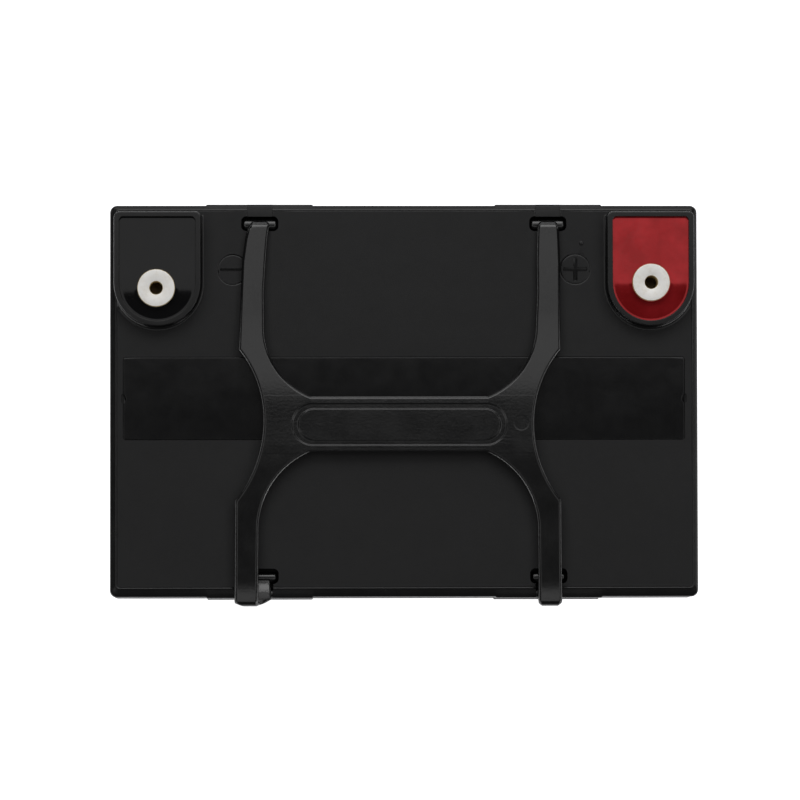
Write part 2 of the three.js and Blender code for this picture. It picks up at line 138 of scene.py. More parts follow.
def arc(cx, cy, r, start, end, steps):
    """Points on a circle's arc, from start to end in degrees."""
    angles = np.radians(np.linspace(start, end, steps + 1))
    return [(cx + r * math.cos(a), cy + r * math.sin(a)) for a in angles]


def rounded_rectangle(cx, cy, length, width, r, steps=8):
    x, y = length / 2 - r, width / 2 - r
    corners = ((x, y, 0), (-x, y, 90), (-x, -y, 180), (x, -y, 270))
    return [p for ox, oy, a in corners for p in arc(cx + ox, cy + oy, r, a, a + 90, steps)]


def well_outline(side, inset=0.0, steps=24):
    """The terminal well's outline, counter-clockwise: a rectangle with a half-round front end."""
    x0, x1 = WELL["inner"] + inset, WELL["outer"] - inset
    rear, r = WELL["rear"] - inset, (x1 - x0) / 2
    middle_y = WELL["front"] + inset + r
    corner = max(0.6, 2.0 - 0.4 * inset)
    points = arc(x1 - corner, rear - corner, corner, 0, 90, 8)
    points += arc(x0 + corner, rear - corner, corner, 90, 180, 8)
    points += arc((x0 + x1) / 2, middle_y, r, 180, 360, steps)
    points = densify(points, 3.0)
    return points if side > 0 else [(-x, y) for x, y in reversed(points)]


def densify(points, step):
    """Splits the long sides of a closed outline."""
    out = []
    for a, b in zip(points, points[1:] + points[:1]):
        count = max(1, int(math.dist(a, b) // step))
        out += [(a[0] + (b[0] - a[0]) * k / count, a[1] + (b[1] - a[1]) * k / count) for k in range(count)]
    return out


def offset(points, distance):
    """Moves a counter-clockwise outline inwards by distance; one number, or one for each point."""
    p = np.array(points, float)
    ahead, behind = np.roll(p, -1, 0) - p, p - np.roll(p, 1, 0)
    n1 = np.stack([-ahead[:, 1], ahead[:, 0]], 1) / np.linalg.norm(ahead, axis=1)[:, None]
    n0 = np.stack([-behind[:, 1], behind[:, 0]], 1) / np.linalg.norm(behind, axis=1)[:, None]
    n = n0 + n1
    n /= np.linalg.norm(n, axis=1)[:, None]
    stretch = np.clip((n * n1).sum(1), 0.5, 1)[:, None]
    return p + n / stretch * np.reshape(distance, (-1, 1))


def tube_faces(ring_count, count):
    """The faces of a closed body through rings of count points, capped at both ends."""
    faces = []
    for k in range(ring_count - 1):
        for i in range(count):
            j = (i + 1) % count
            faces.append((k * count + i, k * count + j, (k + 1) * count + j, (k + 1) * count + i))
    faces.append(tuple(reversed(range(count))))
    faces.append(tuple((ring_count - 1) * count + i for i in range(count)))
    return faces


def loft(name, rings, material=None, smooth_angle=35):
    """A closed body through rings of equally many points, counter-clockwise as seen from where they lead."""
    verts = np.concatenate([np.array(r, float) for r in rings])
    return make_object(name, verts, tube_faces(len(rings), len(rings[0])), material, smooth_angle)


def level_ring(outline, inset, z):
    return np.column_stack([offset(outline, inset), np.full(len(outline), z)])


def raise_outline(name, outline, profile, material=None):
    """Lofts an outline up through (inset, z) pairs."""
    return loft(name, [level_ring(outline, inset, z) for inset, z in profile], material)


def fillet(z, r, steps=5):
    """(inset, z) pairs of a quarter round from a vertical wall to the flat top at height z."""
    angles = np.linspace(0, math.pi / 2, steps + 1)
    return [(r * (1 - math.cos(a)), z - r + r * math.sin(a)) for a in angles]


def block(name, x0, x1, y0, y1, z0, z1):
    outline = [(x1, y0), (x1, y1), (x0, y1), (x0, y0)]
    return loft(name, [[(x, y, z) for x, y in outline] for z in (z0, z1)])


def boolean(target, tool, operation="DIFFERENCE"):
    """Cuts or joins in place with the exact solver, and removes the tool."""
    modifier = target.modifiers.new("cut", "BOOLEAN")
    modifier.object = tool
    modifier.operation = operation
    modifier.solver = "EXACT"
    bake_modifiers(target)
    bpy.data.objects.remove(tool)


def bake_modifiers(obj):
    graph = bpy.context.evaluated_depsgraph_get()
    mesh = bpy.data.meshes.new_from_object(obj.evaluated_get(graph))
    obj.modifiers.clear()
    obj.data = mesh


def duplicate(obj, name):
    copy = bpy.data.objects.new(name, obj.data.copy())
    bpy.context.scene.collection.objects.link(copy)
    return copy


def mark_faces(obj, name, test):
    """Stores 1 on the faces whose middle and normal pass the test, for a material to read."""
    values = [float(test(face.center / MM, face.normal)) for face in obj.data.polygons]
    obj.data.attributes.new(name, "FLOAT", "FACE").data.foreach_set("value", values)


def inside_loops(points, loops):
    """Even-odd test of points against closed loops."""
    inside = np.zeros(len(points), bool)
    px, py = points[:, 0], points[:, 1]
    for loop in loops:
        a = np.array(loop, float)
        b = np.roll(a, -1, 0)
        for (x0, y0), (x1, y1) in zip(a, b):
            if y0 == y1:
                continue
            crosses = ((y0 > py) != (y1 > py)) & (px < (x1 - x0) * (py - y0) / (y1 - y0) + x0)
            inside ^= crosses
    return inside


def distance_to(points, loops):
    """Distance from each point to the nearest side of any loop."""
    best = np.full(len(points), 1e9)
    for loop in loops:
        a = np.array(loop, float)
        b = np.roll(a, -1, 0)
        for p0, p1 in zip(a, b):
            d = p1 - p0
            t = np.clip(((points - p0) @ d) / max(d @ d, 1e-12), 0, 1)
            best = np.minimum(best, np.linalg.norm(points - p0 - t[:, None] * d, axis=1))
    return best


def plate(loops, guides, top, bottom):
    """A closed plate inside the loops, with edges along the guides.

    top and bottom give its heights from x, y and the distance to the nearest loop."""
    coords, edges = [], []

    def add(points, closed):
        start = len(coords)
        coords.extend(Vector((float(x), float(y))) for x, y in points)
        last = len(points) if closed else len(points) - 1
        edges.extend((start + i, start + (i + 1) % len(points)) for i in range(last))

    for loop in loops:
        add(loop, True)
    for points, closed in guides:
        add(points, closed)
    flat, _, triangles, *_ = delaunay_2d_cdt(coords, edges, [], 0, 1e-5)
    flat = np.array([tuple(v) for v in flat])
    triangles = np.array([tuple(t) for t in triangles])
    kept = triangles[inside_loops(flat[triangles].mean(1), loops)]
    used = np.unique(kept)
    index = np.full(len(flat), -1)
    index[used] = np.arange(len(used))
    flat, kept = flat[used], index[kept]
    a, b, c = flat[kept[:, 0]], flat[kept[:, 1]], flat[kept[:, 2]]
    turn = (b[:, 0] - a[:, 0]) * (c[:, 1] - a[:, 1]) - (b[:, 1] - a[:, 1]) * (c[:, 0] - a[:, 0])
    kept[turn < 0] = kept[turn < 0][:, ::-1]
    away = distance_to(flat, loops)
    x, y = flat[:, 0], flat[:, 1]
    n = len(flat)
    upper = np.column_stack([x, y, top(x, y, away)])
    lower = np.column_stack([x, y, bottom(x, y, away)])
    verts = np.concatenate([upper, lower])
    faces = [tuple(t) for t in kept] + [tuple(int(i) + n for i in t[::-1]) for t in kept]
    sides = {}      # a dict and not a set, so that the faces keep one order
    for t in kept:
        for i, j in ((t[0], t[1]), (t[1], t[2]), (t[2], t[0])):
            sides[(int(i), int(j))] = True
    for i, j in sides:
        if (j, i) not in sides:
            faces.append((j, i, i + n, j + n))
    return verts, [tuple(int(i) for i in f) for f in faces]


def level_face(z):
    """For a plate's top or bottom: the same height everywhere."""
    return lambda x, y, away: np.full(len(x), z)


def smoothstep(t):
    t = np.clip(t, 0, 1)
    return t * t * (3 - 2 * t)


def rounded_edge(away, half, r):
    """Height of a surface at half, rounded down by r towards its boundary."""
    inner = np.clip(r - away, 0, r)
    return half - r + np.sqrt(np.maximum(r * r - inner * inner, 0))


# ================================================================ materials
def gray(value):
    return (value, value, value * 1.04)


def new_material(name):
    material = bpy.data.materials.new(name)
    material.use_nodes = True
    tree = material.node_tree
    return material, tree.nodes, tree.links, tree.nodes["Principled BSDF"]


def object_coordinates(nodes):
    return nodes.new("ShaderNodeTexCoord").outputs["Object"]


def noise(nodes, links, vector, scale, detail=4.0, roughness=0.5):
    node = nodes.new("ShaderNodeTexNoise")
    node.inputs["Scale"].default_value = scale
    node.inputs["Detail"].default_value = detail
    node.inputs["Roughness"].default_value = roughness
    links.new(vector, node.inputs["Vector"])
    return node.outputs["Fac"]


def ramp(nodes, links, factor, stops):
    node = nodes.new("ShaderNodeValToRGB")
    elements = node.color_ramp.elements
    while len(elements) < len(stops):
        elements.new(0.5)
    for element, (place, colour) in zip(elements, stops):
        element.position = place
        element.color = (*colour, 1)
    links.new(factor, node.inputs["Fac"])
    return node.outputs["Color"]


def map_range(nodes, links, value, low, high, to_low, to_high):
    node = nodes.new("ShaderNodeMapRange")
    for key, number in (("From Min", low), ("From Max", high), ("To Min", to_low), ("To Max", to_high)):
        node.inputs[key].default_value = number
    links.new(value, node.inputs["Value"])
    return node.outputs["Result"]


def bump(nodes, links, height, strength, distance):
    node = nodes.new("ShaderNodeBump")
    node.inputs["Strength"].default_value = strength
    node.inputs["Distance"].default_value = distance
    links.new(height, node.inputs["Height"])
    return node.outputs["Normal"]


def face_mask(nodes, name):
    node = nodes.new("ShaderNodeAttribute")
    node.attribute_name = name
    return node.outputs["Fac"]


def mix_number(nodes, links, factor, a, b):
    """a where factor is 0, b where it is 1. Each is a number or a socket."""
    node = nodes.new("ShaderNodeMix")
    links.new(factor, node.inputs["Factor"])
    for key, value in (("A", a), ("B", b)):
        if isinstance(value, (int, float)):
            node.inputs[key].default_value = value
        else:
            links.new(value, node.inputs[key])
    return node.outputs["Result"]


def mix_colour(nodes, links, factor, a, b):
    node = nodes.new("ShaderNodeMix")
    node.data_type = "RGBA"
    links.new(factor, node.inputs["Factor"])
    links.new(a, node.inputs[6])
    links.new(b, node.inputs[7])
    return node.outputs[2]


def plastic(name, dark, light, rough, grain, grain_depth, specular=0.5):
    """Moulded plastic: faint flow mottling, a fine grain and roughness that varies a little."""
    material, nodes, links, shader = new_material(name)
    where = object_coordinates(nodes)
    flow = noise(nodes, links, where, 35.0, 3.0)
    links.new(ramp(nodes, links, flow, [(0.3, dark), (0.7, light)]), shader.inputs["Base Color"])
    fine = noise(nodes, links, where, grain, 3.0, 0.6)
    wear = noise(nodes, links, where, 120.0, 5.0, 0.65)
    roughness = map_range(nodes, links, wear, 0.3, 0.7, rough - 0.03, rough + 0.04)
    links.new(roughness, shader.inputs["Roughness"])
    links.new(bump(nodes, links, fine, 0.35, grain_depth), shader.inputs["Normal"])
    shader.inputs["Specular IOR Level"].default_value = specular
    return material


def case_plastic():
    """Case moulding: matte panels, and polished rims and edges where the faces are marked so."""
    material, nodes, links, shader = new_material("case_plastic")
    where = object_coordinates(nodes)
    polished = face_mask(nodes, "polished")
    flow = noise(nodes, links, where, 35.0, 3.0)
    matte = ramp(nodes, links, flow, [(0.3, gray(0.0090)), (0.7, gray(0.0104))])
    glossy = ramp(nodes, links, flow, [(0.3, gray(0.0045)), (0.7, gray(0.0055))])
    links.new(mix_colour(nodes, links, polished, matte, glossy), shader.inputs["Base Color"])
    wear = noise(nodes, links, where, 120.0, 5.0, 0.65)
    satin = map_range(nodes, links, wear, 0.3, 0.7, 0.56, 0.64)
    shine = map_range(nodes, links, wear, 0.3, 0.7, 0.20, 0.28)
    links.new(mix_number(nodes, links, polished, satin, shine), shader.inputs["Roughness"])
    grain = noise(nodes, links, where, 2600.0, 3.0, 0.6)
    depth = mix_number(nodes, links, polished, grain, map_range(nodes, links, grain, 0.0, 1.0, 0.47, 0.53))
    links.new(bump(nodes, links, depth, 0.35, 0.00012), shader.inputs["Normal"])
    links.new(mix_number(nodes, links, polished, 0.3, 0.5), shader.inputs["Specular IOR Level"])
    return material


def tin_plate():
    """Tin on turned brass: faintly pitted on the face, bare brass down the side and in the thread."""
    material, nodes, links, shader = new_material("tin_plate")
    where = object_coordinates(nodes)
    bare = face_mask(nodes, "bare")
    cloud = noise(nodes, links, where, 450.0, 5.0, 0.6)
    tin_stops = [(0.25, (0.86, 0.82, 0.74)), (0.5, (0.96, 0.94, 0.90)), (0.75, (0.99, 0.98, 0.95))]
    tin = ramp(nodes, links, cloud, tin_stops)
    brass = ramp(nodes, links, cloud, [(0.3, (0.40, 0.29, 0.12)), (0.7, (0.66, 0.52, 0.27))])
    links.new(mix_colour(nodes, links, bare, tin, brass), shader.inputs["Base Color"])
    shader.inputs["Metallic"].default_value = 0.1
    links.new(map_range(nodes, links, cloud, 0.3, 0.7, 0.52, 0.40), shader.inputs["Roughness"])
    dents = noise(nodes, links, where, 900.0, 6.0, 0.7)
    links.new(bump(nodes, links, dents, 0.3, 0.0001), shader.inputs["Normal"])
    return material


def epoxy(name, dark, light, specular, sheen=0.0):
    """Poured potting: a mirror-smooth skin with a faint swell, cloudy below and dusty in places."""
    material, nodes, links, shader = new_material(name)
    where = object_coordinates(nodes)
    cloud = noise(nodes, links, where, 110.0, 4.0, 0.55)
    links.new(ramp(nodes, links, cloud, [(0.35, dark), (0.65, light)]), shader.inputs["Base Color"])
    dust = noise(nodes, links, where, 1800.0, 2.0)
    links.new(map_range(nodes, links, dust, 0.60, 0.8, 0.02, 0.07), shader.inputs["Roughness"])
    swell = noise(nodes, links, where, 55.0, 1.0)
    links.new(bump(nodes, links, swell, 0.10, 0.00008), shader.inputs["Normal"])
    shader.inputs["Metallic"].default_value = sheen
    shader.inputs["Specular IOR Level"].default_value = specular
    return material


def dull(name, dark, light, rough, metallic=0.0, scale=400.0, depth=0.0002):
    """A dull cloudy stuff: rubber, lead, battery paste or glass fibre."""
    material, nodes, links, shader = new_material(name)
    where = object_coordinates(nodes)
    cloud = noise(nodes, links, where, scale, 6.0, 0.65)
    links.new(ramp(nodes, links, cloud, [(0.3, dark), (0.7, light)]), shader.inputs["Base Color"])
    shader.inputs["Metallic"].default_value = metallic
    roughness = map_range(nodes, links, cloud, 0.3, 0.7, rough - 0.08, rough + 0.08)
    links.new(roughness, shader.inputs["Roughness"])
    links.new(bump(nodes, links, cloud, 0.5, depth), shader.inputs["Normal"])
    return material


CASE = case_plastic()
STRIP = plastic("strip_plastic", gray(0.0052), gray(0.0066), 0.15, 700.0, 0.00001)
HANDLE = plastic("handle_plastic", gray(0.0028), gray(0.0044), 0.19, 1300.0, 0.00008, specular=0.8)
RUBBER = dull("rubber", gray(0.012), gray(0.02), 0.75)
TIN = tin_plate()
BLACK_EPOXY = epoxy("black_epoxy", (0.0030, 0.0030, 0.0034), (0.0044, 0.0044, 0.0048), specular=0.38)
RED_EPOXY = epoxy("red_epoxy", (0.34, 0.009, 0.011), (0.48, 0.018, 0.023), specular=0.65, sheen=0.6)
LEAD = dull("lead", (0.16, 0.17, 0.18), (0.30, 0.31, 0.33), 0.55, 1.0)
POSITIVE_PASTE = dull("positive_paste", (0.055, 0.024, 0.014), (0.11, 0.05, 0.03), 0.85, 0.0, 900.0, 0.0003)
NEGATIVE_PASTE = dull("negative_paste", (0.13, 0.135, 0.14), (0.22, 0.225, 0.23), 0.8, 0.2, 900.0, 0.0003)
GLASS_MAT = dull("glass_mat", (0.66, 0.65, 0.61), (0.84, 0.83, 0.79), 0.9, 0.0, 2200.0, 0.0003)


# ================================================================ container and lid
def hollow_out(body, node, half_x, half_y, low, high):
    """Cuts out what the CAD piece leaves free inside a box, so its inner walls stay as they are."""
    space = block("space", -half_x, half_x, -half_y, half_y, low, high)
    boolean(space, duplicate(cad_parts[node], "cad_copy"))
    boolean(body, space)


def make_container():
    outline = densify(rounded_rectangle(0, 0, container_high[0] * 2, container_high[1] * 2, CORNER), 6.0)
    top = container_high[2]
    profile = [(1.2, 0.0), (0.35, 0.35), (0.0, 1.2), (0.0, top - 0.4), (0.4, top)]
    body = raise_outline("container_shell", outline, profile, CASE)
    hollow_out(body, "container", 95, 62.5, 2, top + 1)
    finish_casing(body)
    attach(body, "case")
    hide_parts("container")


def finish_casing(body):
    body.data.materials.clear()
    body.data.materials.append(CASE)
    mark_faces(body, "polished", is_polished)
    smooth_by_angle(body, 32)
    weighted_normals(body)


def is_polished(middle, normal):
    """True but on the lid's roof panel, the ways behind the rear pockets and the plain outer walls."""
    roof = LID_TOP - 0.02 < middle.z < LID_TOP + 0.02 and normal.z > 0.999
    over_edge = middle.z > LID_TOP - 1.3 and normal.z > 0.8 and middle.y > 61
    way = over_edge and abs(abs(middle.x) - POCKET["x"]) < 4
    wall = middle.z < LID_TOP - 3 and abs(normal.z) < 0.2
    return not (roof or way or wall)


def rim_solid(side):
    """The well's raised wall as a solid: a foot flared on the lid's inner sides, then a rounded top."""
    outline = np.array(well_outline(side))
    outboard = np.abs(outline[:, 0]) > WELL["outer"] - 1.5
    rearward = outline[:, 1] > WELL["rear"] - 1.0
    middle_y = WELL["front"] + (WELL["outer"] - WELL["inner"]) / 2
    frontward = np.clip((middle_y - outline[:, 1]) / (middle_y - WELL["front"]), 0, 1)
    flare = np.where(outboard | rearward, 0.25, 1.0 + 0.5 * frontward)
    foot, draft, rounding = 0.45, 1.15, 0.45
    profile = [(LID_TOP - 3, 0.55), (LID_TOP - 0.3, 0.55), (LID_TOP, 0.62), (LID_TOP + 0.25, 0.8),
               (LID_TOP + 0.6, 0.95), (LID_TOP + 1.1, 1.0), (RIM_TOP - rounding, 1.0)]
    rings = [level_ring(outline, (share - 1.0) / foot * draft * flare, z) for z, share in profile]
    rings += [level_ring(outline, inset, z) for inset, z in fillet(RIM_TOP, rounding)[1:]]
    return loft(f"rim_{HANDS[side]}", rings)


def well_cutter(side):
    outline = well_outline(side, WELL["wall"])
    profile = [(0.0, WELL["floor"]), (0.0, RIM_TOP - 0.2), (-0.03, RIM_TOP - 0.1), (-0.1, RIM_TOP - 0.03),
               (-0.2, RIM_TOP), (-0.6, RIM_TOP + 0.4)]
    return raise_outline("well_cutter", outline, profile)


def recess_cutter():
    """Room for the cover strip, with a fine rounding along its edge."""
    length, width = strip_high[0] - strip_low[0] + 0.5, strip_high[1] - strip_low[1] + 0.5
    outline = densify(rounded_rectangle(0, (strip_low[1] + strip_high[1]) / 2, length, width, 0.8, 4), 8.0)
    profile = [(0.0, LID_TOP - 2.4), (0.0, LID_TOP - 0.15), (-0.03, LID_TOP - 0.05), (-0.1, LID_TOP),
               (-0.3, LID_TOP + 0.3)]
    return raise_outline("recess_cutter", outline, profile)


def finger_cutter(side):
    """The lid's half of the small pry notch at each end of the strip."""
    x, y = side * (strip_high[0] + 0.1), (strip_low[1] + strip_high[1]) / 2
    outline = rounded_rectangle(x, y, 1.5, 3.2, 0.7, 6)
    profile = [(0.1, LID_TOP - 0.6), (0.0, LID_TOP - 0.4), (-0.1, LID_TOP + 0.3)]
    return raise_outline("finger_cutter", outline, profile)


def pocket_cutter(side, face):
    y, mouth = POCKET_MOUTH[face]
    outline = densify(rounded_rectangle(side * POCKET["x"], y, POCKET["length"], mouth, 1.6, 8), 3.0)
    profile = [(0.0, POCKET["floor"]), (0.0, LID_TOP - 0.3), (-0.04, LID_TOP - 0.12), (-0.15, LID_TOP),
               (-0.45, LID_TOP + 0.3)]
    return raise_outline("pocket_cutter", outline, profile)


def saddle_cutter(side, face):
    """The way from a pocket over the lid's edge: sunk in front, for the slack loops, and shallow behind."""
    sunk = [(57.5, POCKET["floor"]), (59.8, 150.2), (61.2, 151.1), (62.4, 151.9), (63.4, 152.35),
            (64.2, 152.55), (64.9, 152.4), (65.3, 151.9), (65.6, 151.0), (67.0, 150.6)]
    shallow = [(59.5, 154.85), (61.5, 154.8), (62.6, 154.7), (63.6, 154.45), (64.5, 154.0), (65.3, 153.3),
               (67.0, 151.8)]
    half = SADDLE_WIDTH / 2
    rings = []
    for y, z in (sunk if face < 0 else shallow):
        depth = LID_TOP - z
        section = [(-half, z), (-half - 0.05, z + 0.5 * depth), (-half - 0.15, z + 0.8 * depth),
                   (-half - 0.35, LID_TOP), (-half - 0.9, LID_TOP + 0.4)]
        section += [(-u, w) for u, w in reversed(section)]
        rings.append([(side * POCKET["x"] + u, face * y, w) for u, w in section])
    if face < 0:
        rings.reverse()
    return loft("saddle_cutter", rings)


def mark_ring_cutter(x, y):
    """A V-shaped ring round a polarity mark."""
    section = [(MARK_R + 0.45, LID_TOP + 0.2), (MARK_R + 0.04, LID_TOP - 0.55),
               (MARK_R - 0.04, LID_TOP - 0.55), (MARK_R - 0.45, LID_TOP + 0.2)]
    angles = np.radians(np.arange(0, 360, 5))
    verts = [(x + r * math.cos(a), y + r * math.sin(a), z) for a in angles for r, z in section]
    faces = []
    for k in range(len(angles)):
        here, there = 4 * k, 4 * ((k + 1) % len(angles))
        for i in range(4):
            j = (i + 1) % 4
            faces.append((here + i, here + j, there + j, there + i))
    return make_object("ring_cutter", verts, faces)


def mark_cutters(side):
    """Engraved polarity ring with a bar, or a cross, inside it. The bars' floors rise to the rear."""
    x, y = MARK[side]
    tools = [mark_ring_cutter(x, y)]
    tilt = 0.1
    steps = ((0.25, -0.5), (0.0, 0.0), (-0.1, 0.2))
    for length, width in MARK_BARS[side]:
        rings = []
        for inset, rise in steps:
            corner = max(0.05, 0.3 - inset)
            outline = rounded_rectangle(x, y, length - 2 * inset, width - 2 * inset, corner, 3)
            slant = tilt if rise < 0 else 0.0
            rings.append([(px, py, LID_TOP + rise + slant * (py - y)) for px, py in outline])
        tools.append(loft("bar_cutter", rings))
    return tools


def pimple():
    """The small gate mark beside the plus sign."""
    outline = arc(*GATE_MARK, 0.75, 0, 360, 20)[:-1]
    return raise_outline("pimple", outline, [(0.0, LID_TOP - 1)] + fillet(LID_TOP + 0.28, 0.25))


def rim_ring(share, groove, z):
    """The lid's outline at one height, drawn in by a share of each side's slope. The pads stand proud."""
    def reach(extent, name):
        return extent / 2 - share * (EDGE[name] - CREST) - groove

    x0, x1 = -reach(LENGTH, "left"), reach(LENGTH, "right")
    y0, y1 = -reach(WIDTH, "front"), reach(WIDTH, "rear")
    corner = max(0.6, CORNER - share - groove)
    ring = rounded_rectangle((x0 + x1) / 2, (y0 + y1) / 2, x1 - x0, y1 - y0, corner)
    quarter = len(ring) // 4
    proud = PAD_PROUD * (1 - share)
    steps = [(side * PAD_X + end * (PAD_HALF + d), proud if d < 0 else 0.0)
             for side in SIDES for end in SIDES for d in (0.15, -0.15)]
    steps.sort()
    rear = [(x, y1 + lift) for x, lift in reversed(steps)]
    front = [(x, y0 - lift) for x, lift in steps]
    ring = ring[:quarter] + rear + ring[quarter:3 * quarter] + front + ring[3 * quarter:]
    return [(x, y, z) for x, y in ring]


def make_lid():
    """The sloping rim, its crest, a fine groove and the level roof, then all that is cut into them."""
    slope = [(0.0, 2.1), (0.03, 1.65), (0.08, 1.3), (0.18, 1.05), (0.6, 0.645), (0.96, 0.30), (1.0, 0.26)]
    crest = [(0.08, 0.205), (0.16, 0.165), (0.28, 0.13), (CREST, 0.10)]
    groove = [(CREST + 0.12, 0.25), (CREST + 0.26, 0.25), (CREST + 0.38, 0.0)]
    profile = [(-0.12, 0.0, SEAM), (0.0, 0.0, SEAM + 0.3)]
    profile += [(share, 0.0, LID_TOP - fall) for share, fall in slope]
    profile += [(1.0, inset, LID_TOP - fall) for inset, fall in crest + groove]
    body = loft("lid_shell", [rim_ring(*step) for step in profile], CASE)
    for side in SIDES:
        boolean(body, rim_solid(side), "UNION")
    boolean(body, pimple(), "UNION")
    for side in SIDES:
        boolean(body, well_cutter(side))
        for tool in mark_cutters(side):
            boolean(body, tool)
        for face in SIDES:
            boolean(body, pocket_cutter(side, face))
            boolean(body, saddle_cutter(side, face))
    boolean(body, recess_cutter())
    for side in SIDES:
        boolean(body, finger_cutter(side))
    hollow_out(body, "lid", 95.2, 62.7, SEAM - 1, LID_TOP - 1.1)
    finish_casing(body)
    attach(body, "case")
    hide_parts("lid")


# ================================================================ cover strip
def make_strip():
    """The glossy strip, with finely rounded edges and a pry notch at the middle of each end."""
    middle_y = (strip_low[1] + strip_high[1]) / 2
    length, width = strip_high[0] - strip_low[0] + 0.36, strip_high[1] - strip_low[1] + 0.36
    half, notch, bite = length / 2, 1.9, 0.8
    base = rounded_rectangle(0, middle_y, length, width, 0.6, 4)
    reach = math.degrees(math.acos((notch - bite) / notch))
    right = arc(half + notch - bite, middle_y, notch, 180 + reach, 180 - reach, 12)
    left = arc(-half - notch + bite, middle_y, notch, reach, -reach, 12)
    outline = densify(base[:10] + left + base[10:] + right, 6.0)
    guides = [(offset(outline, d), True) for d in (0.04, 0.12, 0.25)]
    top_z, bottom_z = LID_TOP + 0.08, strip_high[2] - 2.0

    def top(x, y, away):
        return rounded_edge(away, top_z, 0.25)

    verts, faces = plate([outline], guides, top, level_face(bottom_z))
    strip = make_object("cover_strip", verts, faces, STRIP, 40)
    weighted_normals(strip)
    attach(strip, "case")
    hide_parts("vent_cover_strip")


# ================================================================ terminals and potting
def make_terminal(side):
    """A turned insert with a flange, a lead-in and a real helical thread."""
    low, high = box_mm(f"{POLES[side]}_terminal")
    (cx, cy), bottom, top, r = POLE[side], low[2], high[2], 6.2
    minor, major, pitch, depth = 2.1, 2.5, 0.8, 10.0
    flange, flange_top = 8.2, bottom + 2.2
    outer = [(flange, bottom), (flange, flange_top), (r, flange_top), (r, top - 0.32)]
    outer += [(r - 0.05, top - 0.15), (r - 0.15, top - 0.05), (r - 0.32, top)]
    outer += [(2.32, top), (2.26, top - 0.05), (minor + 0.03, top - 0.3)]
    angles = np.linspace(0, 2 * math.pi, 96, False)
    rings = [[(rr, z) for _ in angles] for rr, z in outer]
    flank = (major + minor) / 2
    for step in range(int(depth / pitch * 4)):
        rr = (minor, flank, major, flank)[step % 4]
        start = top - 0.45 - step * pitch / 4
        rings.append([(rr, start - a / (2 * math.pi) * pitch) for a in angles])
    rings.append([(minor, top - depth - 2.4) for _ in angles])
    turned = [[(cx + rr * math.cos(a), cy + rr * math.sin(a), z) for (rr, z), a in zip(ring, angles)]
              for ring in rings]
    insert = loft(f"{POLES[side]}_insert", turned, TIN, smooth_angle=50)
    mark_faces(insert, "bare", lambda middle, normal: middle.z < top - 0.1)
    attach(insert, "case")
    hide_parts(f"{POLES[side]}_terminal")


def make_potting(side):
    """Epoxy that creeps up at the well's wall and round the insert."""
    outline = well_outline(side, WELL["wall"] + 0.05)
    (cx, cy), r = POLE[side], 6.22
    hole = arc(cx, cy, r, 0, 360, 64)[:-1]
    guides = [(offset(outline, d), True) for d in (0.12, 0.3, 0.6, 1.0, 1.6, 2.4)]
    guides += [(arc(cx, cy, r + d, 0, 360, 64)[:-1], True) for d in (0.12, 0.3, 0.6, 1.0, 1.5)]

    def top(x, y, d):
        round_insert = np.abs(np.hypot(x - cx, y - cy) - r)
        wall = 0.03 * np.exp(-d / 0.12)
        return POT_TOP + np.where(round_insert < d + 1e-6, 0.07 * np.exp(-round_insert / 0.15), wall)

    bottom_z = box_mm(f"{POLES[side]}_potting")[0][2]
    verts, faces = plate([outline, hole], guides, top, level_face(bottom_z))
    pot = make_object(f"{POLES[side]}_epoxy", verts, faces, RED_EPOXY if side > 0 else BLACK_EPOXY, 50)
    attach(pot, "case")
    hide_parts(f"{POLES[side]}_potting")


# ================================================================ handle
def soft_ramp(t, ease):
    """t where it is positive and 0 where it is negative, eased across the corner."""
    return (t + math.hypot(t, ease)) / 2


DROOP = HINGE_Z - LOOP["z"]      # how far the front straps sag
LOOP_START = math.atan(2 * DROOP / (DROOP_Y - LOOP["y"]))     # the sag's slope where the loop starts


